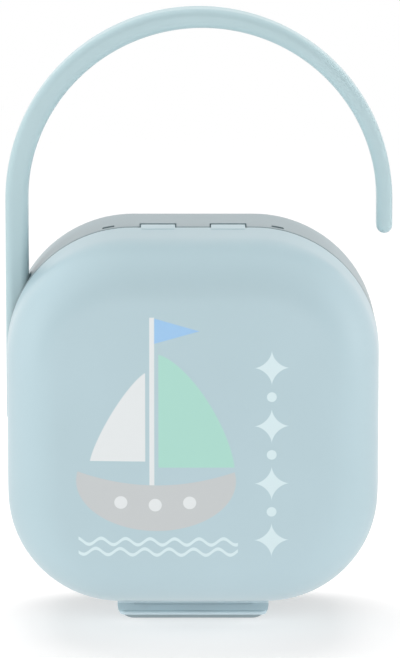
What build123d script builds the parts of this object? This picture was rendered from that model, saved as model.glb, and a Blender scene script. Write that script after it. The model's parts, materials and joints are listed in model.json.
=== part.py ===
from build123d import *
import os

# Pacifier steriliser case: two shells on a top hinge, an open hook handle, a release latch under
# the rim and a perforated tray inside. Millimetres, +Z up, the printed front faces -Y.
# The shells part on the plane y = 0, x = 0 is the middle of the case and the foot stands on z = 0.

# Shells
CASE_WIDTH = 92.0
CASE_HEIGHT = 92.4
CASE_LIFT = 6.6                       # clear height under the shells
CORNER_RADIUS = 28.0
FRONT_DEPTH, FRONT_EDGE, FRONT_DRAFT = 27.0, 15.0, 2.5   # roundover to the face, draft in degrees
REAR_DEPTH, REAR_EDGE, REAR_DRAFT = 29.0, 11.0, 1.0
DOME_RADIUS = 360.0                   # crown of the front face
DOME_ALLOWANCE = 3.0                  # stock left in front for the crown to cut
RIM_EDGE = 0.5                        # rounding of the outer edge along the seam
WALL = 2.2
SEAM = 0.3                            # gap between the two rims

# Rims and gasket; insets are measured from the outside of the wall
FLANGE_START = 1.0
FRONT_FLANGE_INSET, FRONT_FLANGE_DEPTH = 5.2, 2.4
REAR_FLANGE_INSET, REAR_FLANGE_DEPTH = 5.6, 2.6
SEAL_INSETS = (3.4, 4.8)
SEAL_DEPTH = 1.2
SEAL_SIDE_GAP = 0.05

# Pins: radial gap where one is pressed in, and where a piece turns on it
PRESSED = 0.02
RUNNING = 0.07

# Hinge on top, just behind the seam; its knuckles are flush with the shells
HINGE_AXIS_Y = 3.0
KNUCKLE_RADIUS = 1.6
KNUCKLE_GAP = 0.3
HINGE_PIN_RADIUS = 0.75
HINGE_PIN_SPAN = (0.5, 19.2)
HINGE_BORE_HALF = 20.0
FRONT_KNUCKLES = [(-12.9, -4.4), (4.4, 12.9)]
HINGE_BOSS = ((-25.0, 25.0), 7.0, 5.2)   # x span, back, inset of its underside
PIN_NOTCH = ((19.4, 22.4), 1.1)          # x span and half width of the recess a pin goes in by

# Foot, moulded with the rear shell, and the latch in it
FOOT_HALF_WIDTH = 18.8
FOOT_FRONT, FOOT_BACK, FOOT_ROOT = -2.4, 12.6, 9.0
FOOT_CORNER, FOOT_EDGE = 4.0, 0.8
LID_CLEARANCE = 0.5
SLOT_HALF_WIDTH, SLOT_BACK, SLOT_FLOOR, SLOT_CEILING = 15.9, 11.2, 1.4, 5.0
LATCH_AXIS = (9.0, 3.1)               # y, z
LATCH_PIN_RADIUS, LATCH_PIN_HALF = 0.8, 18.2
TONGUE_HALF_WIDTH, TONGUE_BOTTOM, TONGUE_TOP, TONGUE_BARREL = 15.4, 2.3, 3.9, 1.4
PLATE_FRONT, PLATE_BACK, PLATE_BOTTOM, PLATE_TOP = -5.2, -2.7, 1.3, 6.1
LEDGE_FRONT, LEDGE_TOP, LEDGE_CORNER, LEDGE_EDGE = -8.2, 2.5, 2.6, 0.4
LATCH_CORNER = 3.4
GRIP_GROOVE = (14.6, 3.4, 3.8, 0.3)   # half width, bottom, top, depth
HOOK_HALF_WIDTH, HOOK_SPAN, HOOK_TOP = 7.0, (-4.6, -3.6), 6.3
KEEPER_SLOT = ((-7.6, 7.6), (-4.9, -3.3), 1.2)   # x span, y span, depth
SPRING_HALF_WIDTH, SPRING_SPAN = 7.0, (1.8, 4.2)

# Steam vents in the underside of the front shell
VENT_CENTRES = (-16.0, 0.0, 16.0)
VENT_SIZE = (8.0, 1.4)
VENT_Y = -9.5

# Handle: a strap in the plane of the case, rooted in a channel down its left side
STRAP_SPAN = (2.9, 10.9)
OUTER_ARC = (1.45, 104.8, 47.8)       # x, z, radius
INNER_ARC = (2.3, 104.8, 43.0)
STRAP_EDGE = 1.4
TIP_Z = 96.6
PIVOT_Z = 50.8
HANDLE_PIN_RADIUS = 1.2
HANDLE_PIN_SPAN = (1.6, 13.2)
CHANNEL_SPAN = (2.6, 11.2)
CHANNEL_FLOOR_X = -40.1
CHANNEL_BOSS = ((-44.5, -37.9), 13.4, (45.3, 94.2))   # x span, back, z span
EYE_GAP = 0.3

# Tray, hung in the rear shell in front of the water space
TRAY_SIZE, TRAY_CORNER = (74.0, 76.0), 19.0
TRAY_FRONT, TRAY_BACK = 8.0, 9.8
TRAY_RIM_FRONT, TRAY_RIM = 5.0, 1.4
TRAY_AXIS = (13.4, 87.3)              # y, z
TRAY_EAR = ((22.0, 24.6), (9.0, 15.0), (84.8, 89.8))
TRAY_STUB_RADIUS, TRAY_STUB_END = 1.2, 28.1
TRAY_LUG = ((25.3, 27.9), (11.0, 15.9), (84.8, 96.0))
POST_RADIUS, POST_FRONT, POST_PLACES = 2.2, 10.1, (25.0, 27.0)
CRADLE_X, CRADLE_RADII = 18.4, (13.5, 12.0)
COLLAR, COLLAR_FRONT = 1.5, 5.2
HOLE_RADIUS, HOLE_PITCH, HOLE_MARGIN = 1.6, 6.2, 2.4

mid_z = CASE_LIFT + CASE_HEIGHT / 2
top_z = CASE_LIFT + CASE_HEIGHT
hinge_z = top_z - KNUCKLE_RADIUS
rim_y = SEAM / 2
strap_outer_x = OUTER_ARC[0] - OUTER_ARC[2]
strap_inner_x = INNER_ARC[0] - INNER_ARC[2]
pivot_x = (strap_outer_x + strap_inner_x) / 2
eye_radius = (strap_inner_x - strap_outer_x) / 2


def block(x_span, y_span, z_span):
    """A box between three pairs of coordinates."""
    spans = (x_span, y_span, z_span)
    middle = [(low + high) / 2 for low, high in spans]
    return Pos(*middle) * Box(*[high - low for low, high in spans])


def even(half):
    """A span that is even about zero."""
    return (-half, half)


def rod_x(span, y, z, radius):
    """A round bar along X."""
    return Pos(sum(span) / 2, y, z) * Rot(0, 90, 0) * Cylinder(radius, span[1] - span[0])


def rod_y(span, x, z, radius):
    """A round bar along Y."""
    return Pos(x, sum(span) / 2, z) * Rot(90, 0, 0) * Cylinder(radius, span[1] - span[0])


def upright(sketch, y_span, x=0.0, z=0.0):
    """A flat sketch stood up in the XZ plane and thickened between two depths."""
    return extrude(Plane.XZ * Pos(x, z) * sketch, amount=y_span[1] - y_span[0]).moved(Pos(0, y_span[1], 0))


def outline(inset):
    """The case's outline at the seam, moved inwards by inset."""
    size = (CASE_WIDTH - 2 * inset, CASE_HEIGHT - 2 * inset)
    return RectangleRounded(*size, CORNER_RADIUS - inset)


def rim_band(insets, y_span):
    """A ring that follows the case's outline between two insets."""
    return upright(outline(insets[0]) - outline(insets[1]), y_span, z=mid_z)


def pillow(depth, edge, draft, inset=0.0, allowance=0.0):
    """Half of the case as a solid towards -Y, its far edge rounded over."""
    solid = extrude(Plane.XZ * Pos(0, mid_z) * outline(inset), amount=depth - inset + allowance, taper=draft)
    if allowance:
        solid &= Pos(0, DOME_RADIUS - depth, mid_z) * Sphere(DOME_RADIUS - inset)
    solid = fillet(solid.faces().sort_by(Axis.Y)[0].edges(), edge - inset)
    if inset:
        return solid
    return fillet(solid.faces().sort_by(Axis.Y)[-1].edges(), RIM_EDGE)


def make_front_shell():
    outer = pillow(FRONT_DEPTH, FRONT_EDGE, FRONT_DRAFT, allowance=DOME_ALLOWANCE)
    inner = pillow(FRONT_DEPTH, FRONT_EDGE, FRONT_DRAFT, WALL, DOME_ALLOWANCE)
    shell = (outer - inner).moved(Pos(0, -rim_y, 0))
    shell += rim_band((FLANGE_START, FRONT_FLANGE_INSET), (-FRONT_FLANGE_DEPTH, -rim_y))
    for span in FRONT_KNUCKLES:
        shell += rod_x(span, HINGE_AXIS_Y, hinge_z, KNUCKLE_RADIUS)
        shell += block(span, (-FRONT_FLANGE_DEPTH, HINGE_AXIS_Y), (top_z - WALL, top_z))
    shell -= rod_x(even(HINGE_BORE_HALF), HINGE_AXIS_Y, hinge_z, HINGE_PIN_RADIUS + RUNNING)
    keeper_x, keeper_y, keeper_depth = KEEPER_SLOT
    shell -= block(keeper_x, keeper_y, (CASE_LIFT - 1, CASE_LIFT + keeper_depth))
    for x in VENT_CENTRES:
        vent = Pos(x, VENT_Y, CASE_LIFT + WALL / 2) * extrude(SlotOverall(*VENT_SIZE), WALL * 2, both=True)
        shell -= vent
    return shell


def make_rear_shell():
    outer = mirror(pillow(REAR_DEPTH, REAR_EDGE, REAR_DRAFT), about=Plane.XZ).moved(Pos(0, rim_y, 0))
    inner = mirror(pillow(REAR_DEPTH, REAR_EDGE, REAR_DRAFT, WALL), about=Plane.XZ).moved(Pos(0, rim_y, 0))
    boss_x, boss_back, boss_z = CHANNEL_BOSS
    hinge_x, hinge_back, hinge_inset = HINGE_BOSS
    inside = block(boss_x, (rim_y, boss_back), boss_z)
    inside += block(hinge_x, (rim_y, hinge_back), (top_z - hinge_inset, top_z - WALL / 2))
    for side in (-1, 1):
        lug_x = sorted(side * x for x in TRAY_LUG[0])
        inside += block(lug_x, *TRAY_LUG[1:])
        for up in (-1, 1):
            post = (POST_FRONT, REAR_DEPTH - WALL / 2)
            inside += rod_y(post, side * POST_PLACES[0], mid_z + up * POST_PLACES[1], POST_RADIUS)
    shell = (outer - inner) + (inside & outer)
    shell += rim_band((FLANGE_START, REAR_FLANGE_INSET), (rim_y, REAR_FLANGE_DEPTH))
    shell += make_foot()
    shell -= rim_band(SEAL_INSETS, (rim_y, rim_y + SEAL_DEPTH))
    return shell - make_rear_cuts()


def make_foot():
    profile = Pos(0, FOOT_ROOT / 2) * Rectangle(2 * FOOT_HALF_WIDTH, FOOT_ROOT)
    profile = fillet(profile.vertices().group_by(Axis.Y)[0], FOOT_CORNER)
    foot = upright(profile, (FOOT_FRONT, FOOT_BACK))
    back_edges = foot.faces().sort_by(Axis.Y)[-1].edges()
    foot = fillet(back_edges.filter_by(lambda edge: edge.center().Z < FOOT_ROOT), FOOT_EDGE)
    foot -= block(even(FOOT_HALF_WIDTH + 1), (FOOT_FRONT - 1, rim_y), (CASE_LIFT - LID_CLEARANCE, FOOT_ROOT + 1))
    foot -= block(even(SLOT_HALF_WIDTH), (FOOT_FRONT - 1, SLOT_BACK), (SLOT_FLOOR, SLOT_CEILING))
    return foot - rod_x(even(FOOT_HALF_WIDTH + 1), *LATCH_AXIS, LATCH_PIN_RADIUS + PRESSED)


def make_rear_cuts():
    """Pockets for the turning knuckles, the pin holes and their notches, and the handle's channel."""
    pocket_radius = KNUCKLE_RADIUS + KNUCKLE_GAP
    cuts = rod_x(even(HINGE_BORE_HALF), HINGE_AXIS_Y, hinge_z, HINGE_PIN_RADIUS + PRESSED)
    for low, high in FRONT_KNUCKLES:
        span = (low - KNUCKLE_GAP, high + KNUCKLE_GAP)
        cuts += rod_x(span, HINGE_AXIS_Y, hinge_z, pocket_radius)
        cuts += block(span, (rim_y - 1, HINGE_AXIS_Y), (top_z - WALL - KNUCKLE_GAP, top_z + 1))
        open_back = HINGE_AXIS_Y + pocket_radius + KNUCKLE_GAP
        cuts += block(span, (HINGE_AXIS_Y, open_back), (hinge_z, top_z + 1))
    notch_x, notch_half = PIN_NOTCH
    notch_y = (HINGE_AXIS_Y - notch_half, HINGE_AXIS_Y + notch_half)
    for side in (-1, 1):
        cuts += block(sorted(side * x for x in notch_x), notch_y, (hinge_z - notch_half, top_z + 1))
    bottom = PIVOT_Z - eye_radius - EYE_GAP
    cuts += block((-CASE_WIDTH, CHANNEL_FLOOR_X), CHANNEL_SPAN, (PIVOT_Z, top_z))
    cuts += block((-CASE_WIDTH, pivot_x), CHANNEL_SPAN, (bottom, PIVOT_Z))
    cuts += rod_y(CHANNEL_SPAN, pivot_x, PIVOT_Z, eye_radius + EYE_GAP)
    cuts += rod_y((HANDLE_PIN_SPAN[0], HANDLE_PIN_SPAN[1] + 1), pivot_x, PIVOT_Z, HANDLE_PIN_RADIUS + PRESSED)
    for side in (-1, 1):
        span = sorted((side * (TRAY_LUG[0][0] - 1), side * (TRAY_LUG[0][1] + 1)))
        cuts += rod_x(span, *TRAY_AXIS, TRAY_STUB_RADIUS + RUNNING)
    return cuts


def make_rim_seal():
    insets = (SEAL_INSETS[0] + SEAL_SIDE_GAP, SEAL_INSETS[1] - SEAL_SIDE_GAP)
    return rim_band(insets, (rim_y, rim_y + SEAL_DEPTH))


def make_latch_tab():
    plate = block(even(FOOT_HALF_WIDTH), (PLATE_FRONT, PLATE_BACK), (PLATE_BOTTOM, PLATE_TOP))
    ledge = block(even(FOOT_HALF_WIDTH), (LEDGE_FRONT, PLATE_BACK), (PLATE_BOTTOM, LEDGE_TOP))
    ledge = fillet(ledge.edges().filter_by(Axis.Z).group_by(Axis.Y)[0], LEDGE_CORNER)
    ledge_rim = ledge.faces().sort_by(Axis.Z)[-1].edges().filter_by(lambda edge: edge.center().Y < PLATE_FRONT)
    ledge = fillet(ledge_rim, LEDGE_EDGE)
    height = PLATE_TOP - PLATE_BOTTOM
    profile = Pos(0, PLATE_BOTTOM + height / 2) * Rectangle(2 * FOOT_HALF_WIDTH, height)
    profile = fillet(profile.vertices().group_by(Axis.Y)[0], LATCH_CORNER)
    tab = (plate + ledge) & upright(profile, (LEDGE_FRONT, PLATE_BACK))
    half, low, high, depth = GRIP_GROOVE
    tab -= block(even(half), (PLATE_FRONT - depth, PLATE_FRONT + depth), (low, high))
    tab += block(even(TONGUE_HALF_WIDTH), (PLATE_BACK - 1, LATCH_AXIS[0]), (TONGUE_BOTTOM, TONGUE_TOP))
    tab += rod_x(even(TONGUE_HALF_WIDTH), *LATCH_AXIS, TONGUE_BARREL)
    tab += block(even(HOOK_HALF_WIDTH), HOOK_SPAN, (PLATE_TOP - 1, HOOK_TOP))
    return tab - rod_x(even(FOOT_HALF_WIDTH), *LATCH_AXIS, LATCH_PIN_RADIUS + RUNNING)


def make_latch_spring():
    return block(even(SPRING_HALF_WIDTH), SPRING_SPAN, (SLOT_FLOOR, TONGUE_BOTTOM - PRESSED))


def make_handle():
    outer_x, arc_z, outer_radius = OUTER_ARC
    inner_x, _, inner_radius = INNER_ARC
    tip_outer, tip_inner = outer_x + outer_radius, inner_x + inner_radius
    tip_radius = (tip_outer - tip_inner) / 2
    with BuildSketch() as strap:
        with BuildLine():
            Line((strap_outer_x, PIVOT_Z), (strap_outer_x, arc_z))
            ThreePointArc((strap_outer_x, arc_z), (outer_x, arc_z + outer_radius), (tip_outer, arc_z))
            Line((tip_outer, arc_z), (tip_outer, TIP_Z + tip_radius))
            middle = (tip_outer + tip_inner) / 2
            ThreePointArc((tip_outer, TIP_Z + tip_radius), (middle, TIP_Z), (tip_inner, TIP_Z + tip_radius))
            Line((tip_inner, TIP_Z + tip_radius), (tip_inner, arc_z))
            ThreePointArc((tip_inner, arc_z), (inner_x, arc_z + inner_radius), (strap_inner_x, arc_z))
            Line((strap_inner_x, arc_z), (strap_inner_x, PIVOT_Z))
            ThreePointArc((strap_inner_x, PIVOT_Z), (pivot_x, PIVOT_Z - eye_radius), (strap_outer_x, PIVOT_Z))
        make_face()
    handle = upright(strap.sketch, STRAP_SPAN)
    faces = handle.faces().filter_by(Axis.Y)
    handle = fillet([edge for face in faces for edge in face.edges()], STRAP_EDGE)
    return handle - rod_y(STRAP_SPAN, pivot_x, PIVOT_Z, HANDLE_PIN_RADIUS + RUNNING)


def make_soother_tray():
    sheet = RectangleRounded(*TRAY_SIZE, TRAY_CORNER)
    inner = RectangleRounded(TRAY_SIZE[0] - 2 * TRAY_RIM, TRAY_SIZE[1] - 2 * TRAY_RIM, TRAY_CORNER - TRAY_RIM)
    tray = upright(sheet, (TRAY_FRONT, TRAY_BACK), z=mid_z)
    tray += upright(sheet - inner, (TRAY_RIM_FRONT, TRAY_BACK), z=mid_z)
    radius_x, radius_z = CRADLE_RADII
    for side in (-1, 1):
        collar = Ellipse(radius_x + COLLAR, radius_z + COLLAR)
        tray += upright(collar, (COLLAR_FRONT, TRAY_BACK), side * CRADLE_X, mid_z)
        ear_x = sorted(side * x for x in TRAY_EAR[0])
        tray += block(ear_x, *TRAY_EAR[1:])
        tray += rod_x(sorted((side * TRAY_EAR[0][0], side * TRAY_STUB_END)), *TRAY_AXIS, TRAY_STUB_RADIUS)
    for side in (-1, 1):
        tray -= upright(Ellipse(radius_x, radius_z), (TRAY_RIM_FRONT, TRAY_BACK + 1), side * CRADLE_X, mid_z)
    holes = Sketch() + [Pos(x, z) * Circle(HOLE_RADIUS) for x, z in steam_hole_places()]
    return tray - upright(holes, (TRAY_RIM_FRONT, TRAY_BACK + 1), z=mid_z)


def steam_hole_places():
    """Grid points on the tray's plate that miss its rim, its cradles and its ears."""
    half_x, half_z = TRAY_SIZE[0] / 2, TRAY_SIZE[1] / 2
    keep = HOLE_MARGIN + TRAY_RIM
    places = []
    for row in range(-5, 6):
        for column in range(-5, 6):
            x, z = column * HOLE_PITCH, row * HOLE_PITCH
            corner_x = max(abs(x) - (half_x - TRAY_CORNER), 0)
            corner_z = max(abs(z) - (half_z - TRAY_CORNER), 0)
            in_rim = (corner_x**2 + corner_z**2) ** 0.5 < TRAY_CORNER - keep
            reach = [radius + COLLAR + HOLE_MARGIN for radius in CRADLE_RADII]
            clear = ((abs(x) - CRADLE_X) / reach[0]) ** 2 + (z / reach[1]) ** 2 > 1
            under_ear = z > TRAY_EAR[2][0] - mid_z - HOLE_MARGIN and abs(x) > TRAY_EAR[0][0] - HOLE_MARGIN
            if in_rim and clear and not under_ear:
                places.append((x, z))
    return places


def make_pieces():
    inner_end, outer_end = HINGE_PIN_SPAN
    return {
        "front_shell": make_front_shell(),
        "rear_shell": make_rear_shell(),
        "rim_seal": make_rim_seal(),
        "hinge_pin_left": rod_x((-outer_end, -inner_end), HINGE_AXIS_Y, hinge_z, HINGE_PIN_RADIUS),
        "hinge_pin_right": rod_x((inner_end, outer_end), HINGE_AXIS_Y, hinge_z, HINGE_PIN_RADIUS),
        "latch_tab": make_latch_tab(),
        "latch_pin": rod_x(even(LATCH_PIN_HALF), *LATCH_AXIS, LATCH_PIN_RADIUS),
        "latch_spring": make_latch_spring(),
        "handle": make_handle(),
        "handle_pin": rod_y(HANDLE_PIN_SPAN, pivot_x, PIVOT_Z, HANDLE_PIN_RADIUS),
        "soother_tray": make_soother_tray(),
    }


os.makedirs("parts", exist_ok=True)
for name, piece in make_pieces().items():
    export_step(piece, f"parts/{name}.step")
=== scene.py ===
import json
from math import asin, cos, degrees, hypot, pi, radians, sin, sqrt, tan

import bmesh
import bpy
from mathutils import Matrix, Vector


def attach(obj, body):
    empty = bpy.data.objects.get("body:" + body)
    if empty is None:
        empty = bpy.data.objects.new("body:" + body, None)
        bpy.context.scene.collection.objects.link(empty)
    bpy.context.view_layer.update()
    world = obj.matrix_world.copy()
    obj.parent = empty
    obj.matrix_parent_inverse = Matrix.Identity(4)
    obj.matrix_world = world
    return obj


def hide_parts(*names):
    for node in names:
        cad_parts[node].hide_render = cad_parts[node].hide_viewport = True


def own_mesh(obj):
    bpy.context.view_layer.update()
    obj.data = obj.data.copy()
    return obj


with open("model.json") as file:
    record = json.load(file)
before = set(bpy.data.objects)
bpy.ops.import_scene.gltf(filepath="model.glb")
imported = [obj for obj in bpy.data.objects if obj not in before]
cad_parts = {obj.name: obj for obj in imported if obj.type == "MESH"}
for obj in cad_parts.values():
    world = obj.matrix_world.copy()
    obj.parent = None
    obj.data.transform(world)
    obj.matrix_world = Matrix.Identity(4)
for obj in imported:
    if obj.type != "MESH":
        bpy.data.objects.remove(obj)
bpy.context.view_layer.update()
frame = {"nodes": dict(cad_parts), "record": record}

mm = 0.001                          # every size below is in millimetres
nodes = frame["nodes"]


class Wire:
    # a node socket that can be written into sums; each sum adds its Math nodes
    def __init__(self, graph, socket):
        self.graph, self.socket = graph, socket

    def __add__(self, other):
        return self.graph.math("ADD", self, other)

    def __sub__(self, other):
        return self.graph.math("SUBTRACT", self, other)

    def __mul__(self, other):
        return self.graph.math("MULTIPLY", self, other)

    def __truediv__(self, other):
        return self.graph.math("DIVIDE", self, other)

    def __pow__(self, other):
        return self.graph.math("POWER", self, other)

    def __radd__(self, other):
        return self.graph.math("ADD", other, self)

    def __rsub__(self, other):
        return self.graph.math("SUBTRACT", other, self)

    def __rmul__(self, other):
        return self.graph.math("MULTIPLY", other, self)

    def __rtruediv__(self, other):
        return self.graph.math("DIVIDE", other, self)

    def __neg__(self):
        return self.graph.math("MULTIPLY", self, -1.0)

    def __abs__(self):
        return self.graph.math("ABSOLUTE", self)


class Graph:
    # one node tree, of a material or of Geometry Nodes
    def __init__(self, tree):
        self.tree = tree

    def plug(self, socket, value):
        if isinstance(value, Wire):
            self.tree.links.new(value.socket, socket)
        else:
            socket.default_value = value

    def make(self, kind, settings=None, inputs=None, output=0):
        node = self.tree.nodes.new(kind)
        for name, value in (settings or {}).items():
            setattr(node, name, value)
        for name, value in (inputs or {}).items():
            self.plug(node.inputs[name], value)
        return Wire(self, node.outputs[output]) if node.outputs else None

    def math(self, operation, *values):
        return self.make("ShaderNodeMath", {"operation": operation}, dict(enumerate(values)))

    def least(self, first, *others):
        for other in others:
            first = self.math("MINIMUM", first, other)
        return first

    def most(self, first, *others):
        for other in others:
            first = self.math("MAXIMUM", first, other)
        return first

    def clamp(self, value, low, high):
        return self.least(self.most(value, low), high)

    def length(self, x, y):
        return self.math("SQRT", x * x + y * y)

    def vector(self, x, y, z):
        return self.make("ShaderNodeCombineXYZ", None, {"X": x, "Y": y, "Z": z})

    def split(self, vector):
        node = self.tree.nodes.new("ShaderNodeSeparateXYZ")
        self.plug(node.inputs[0], vector)
        return [Wire(self, socket) for socket in node.outputs]

    def ramp(self, value, low, high):
        # 0 at low, 1 at high, smooth between
        inputs = {"Value": value, "From Min": low, "From Max": high}
        return self.make("ShaderNodeMapRange", {"interpolation_type": "SMOOTHSTEP"}, inputs)

    def noise(self, place, scale, detail=2.0, roughness=0.5):
        inputs = {"Vector": place, "Scale": scale, "Detail": detail, "Roughness": roughness}
        return self.make("ShaderNodeTexNoise", None, inputs)

    def tint(self, factor, first, second):
        mix = self.tree.nodes.new("ShaderNodeMix")
        mix.data_type = "RGBA"
        self.plug(mix.inputs[0], factor)
        self.plug(mix.inputs[6], first)
        self.plug(mix.inputs[7], second)
        return Wire(self, mix.outputs[2])


def makeCamera():
    view = {
        "target": (1.73, 0.0, 73.3),   # where the camera looks
        "elevation": 12.0,             # degrees above the horizon
        "distance": 1400.0,
        "height": 162.7,               # of what it sees at the target
        "clip": (0.01, 20.0),          # metres
    }
    data = bpy.data.cameras.new("camera")
    camera = bpy.data.objects.new("camera", data)
    bpy.context.scene.collection.objects.link(camera)
    tilt = radians(view["elevation"])
    back = Vector((0.0, -cos(tilt), sin(tilt)))
    camera.location = (Vector(view["target"]) + back * view["distance"]) * mm
    camera.rotation_mode = "QUATERNION"
    camera.rotation_quaternion = (-back).to_track_quat("-Z", "Y")
    data.lens = data.sensor_width * view["distance"] / view["height"]
    data.clip_start, data.clip_end = view["clip"]
    bpy.context.scene.camera = camera
    print("camera: lens", round(data.lens, 1))


def makeLamps():
    lamps = {  # place, aim and size in metres, watts
        "topBox": ((-0.05, 0.38, 1.02), (0.0, 0.0, 0.08), (1.0, 0.6), 9.0),
        "leftBox": ((-1.20, -0.16, 0.20), (0.0, 0.0, 0.05), (0.8, 0.9), 9.8),
        "rightBox": ((1.20, -0.12, 0.18), (0.0, 0.0, 0.05), (0.8, 0.9), 8.5),
        "frontBox": ((0.05, -1.20, 0.62), (0.0, 0.0, 0.05), (0.9, 0.4), 2.1),
        "lowBox": ((0.0, -0.60, 0.12), (0.0, 0.0, 0.02), (0.9, 0.10), 1.3),
    }
    for name, (place, aim, size, watts) in lamps.items():
        data = bpy.data.lights.new(name, "AREA")
        data.shape = "RECTANGLE"
        data.size, data.size_y = size
        data.energy = watts
        lamp = bpy.data.objects.new(name, data)
        lamp.location = place
        lamp.rotation_euler = (Vector(aim) - Vector(place)).to_track_quat("-Z", "Y").to_euler()
        lamp.visible_glossy = lamp.visible_camera = False
        bpy.context.scene.collection.objects.link(lamp)
    print("lamps:", len(lamps))


def rayKinds(graph):
    # whether a ray comes from the camera, and whether it comes off or through a surface
    path = graph.tree.nodes.new("ShaderNodeLightPath")
    names = ("Is Camera Ray", "Is Glossy Ray", "Is Transmission Ray")
    seen, glossy, through = (Wire(graph, path.outputs[name]) for name in names)
    return seen, graph.most(glossy, through)


def makeWorld():
    sky = {
        "diffuse": 0.20,               # how much light the room gives by itself
        "overhead": (0.10, 0.12, 0.13, 1.0),   # the dark ceiling behind the object
        "horizon": (1.0, 1.0, 1.0, 1.0),
        "front": (0.42, 0.45, 0.47, 1.0),   # the dim side of the room, behind the camera
        "towards": (0.35, 0.95),       # how far towards the camera the walls turn dim
        "upwards": (0.74, 0.86),       # how far up the ceiling starts
        "backwards": (0.05, 0.30),     # and how far behind the object
    }
    world = bpy.data.worlds.new("studio")
    bpy.context.scene.world = world
    world.use_nodes = True
    world.node_tree.nodes.clear()
    graph = Graph(world.node_tree)
    _, y, z = graph.split(graph.make("ShaderNodeTexCoord", None, None, "Generated"))
    walls = graph.tint(graph.ramp(-y, *sky["towards"]), sky["horizon"], sky["front"])
    ceiling = graph.ramp(z, *sky["upwards"]) * graph.ramp(y, *sky["backwards"])
    room = graph.tint(ceiling, walls, sky["overhead"])
    seen, reflected = rayKinds(graph)
    color = graph.tint(reflected, (1.0, 1.0, 1.0, 1.0), room)
    strength = sky["diffuse"] + (1.0 - sky["diffuse"]) * graph.most(seen, reflected)
    light = graph.make("ShaderNodeBackground", None, {"Color": color, "Strength": strength})
    graph.make("ShaderNodeOutputWorld", None, {"Surface": light})
    bpy.context.scene.view_settings.view_transform = "Standard"
    print("world: ready")


def makeFloor():
    ground = {
        "radius": 6.0,                 # metres
        "paper": (0.42, 0.42, 0.42, 1.0),
        "seenPaper": (1.25, 1.215, 1.205, 1.0),   # the same sheet, overexposed towards the camera
        "glow": 0.45,                  # share of plain white near the object
        "clear": (0.16, 0.75),         # metres from the object where the glow takes over
        "bounce": 0.74,                # what the bright table gives back even in the shadow
    }
    mesh = bpy.data.meshes.new("floor")
    form = bmesh.new()
    bmesh.ops.create_circle(form, cap_ends=True, radius=ground["radius"], segments=96)
    form.to_mesh(mesh)
    form.free()
    floor = bpy.data.objects.new("floor", mesh)
    bpy.context.scene.collection.objects.link(floor)
    material = bpy.data.materials.new("paperSweep")
    material.use_nodes = True
    material.node_tree.nodes.clear()
    graph = Graph(material.node_tree)
    x, y, _ = graph.split(graph.make("ShaderNodeTexCoord", None, None, "Object"))
    away = graph.ramp(graph.length(x, y), *ground["clear"])
    seen, reflected = rayKinds(graph)
    color = graph.tint(seen, ground["paper"], ground["seenPaper"])
    paper = graph.make("ShaderNodeBsdfDiffuse", None, {"Color": color})
    white = graph.make("ShaderNodeEmission", None, {"Strength": 1.0})
    glow = seen * (ground["glow"] + (1.0 - ground["glow"]) * away) + (1.0 - seen) * ground["bounce"]
    share = graph.most(reflected, glow)
    mixed = graph.make("ShaderNodeMixShader", None, {0: share, 1: paper, 2: white})
    graph.make("ShaderNodeOutputMaterial", None, {"Surface": mixed})
    floor.data.materials.append(material)
    print("floor: ready")


def tone(code):
    # a hex colour as linear values
    parts = [int(code[start:start + 2], 16) / 255 for start in (0, 2, 4)]
    return tuple(((part + 0.055) / 1.055) ** 2.4 for part in parts) + (1.0,)


def newMaterial(name, constants):
    material = bpy.data.materials.new(name)
    material.use_nodes = True
    shader = material.node_tree.nodes["Principled BSDF"]
    for socket, value in constants.items():
        shader.inputs[socket].default_value = value
    graph = Graph(material.node_tree)
    place = graph.make("ShaderNodeTexCoord", None, None, "Object")
    return material, graph, shader, place


def mouldedPlastic(name, look):
    # satin moulded plastic: faint flow marks, orange peel, and handling marks in the gloss
    marks = {  # scale, detail and roughness of each noise
        "flow": (14.0, 3.0, 0.5), "peel": (260.0, 1.0, 0.4), "grain": (1400.0, 1.0, 0.5),
        "handled": (38.0, 5.0, 0.6),
    }
    share = {  # where two of them set in, and how much each tells
        "flow": (0.3, 0.7), "handled": (0.45, 0.75),
        "handledGloss": 0.05, "grainGloss": 0.02, "grainHeight": 0.03,
    }
    material, graph, shader, place = newMaterial(name, {"IOR": 1.49, "Specular IOR Level": 0.5})
    flow, peel, grain, handled = (graph.noise(place, *mark) for mark in marks.values())
    color = graph.tint(graph.ramp(flow, *share["flow"]), tone(look["dark"]), tone(look["light"]))
    handled = graph.ramp(handled, *share["handled"])
    rough = look["rough"] + share["handledGloss"] * handled + share["grainGloss"] * grain
    height = peel + share["grainHeight"] * grain
    return graph, shader, place, color, rough, height, material


def closeFinish(graph, shader, color, rough, height, depth):
    graph.plug(shader.inputs["Base Color"], color)
    graph.plug(shader.inputs["Roughness"], rough)
    inputs = {"Strength": 1.0, "Distance": depth * mm, "Height": height}
    graph.plug(shader.inputs["Normal"], graph.make("ShaderNodeBump", None, inputs))


def plasticOf(name, look):
    graph, shader, _, color, rough, height, material = mouldedPlastic(name, look)
    closeFinish(graph, shader, color, rough, height, look["peel"])
    return material


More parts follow.
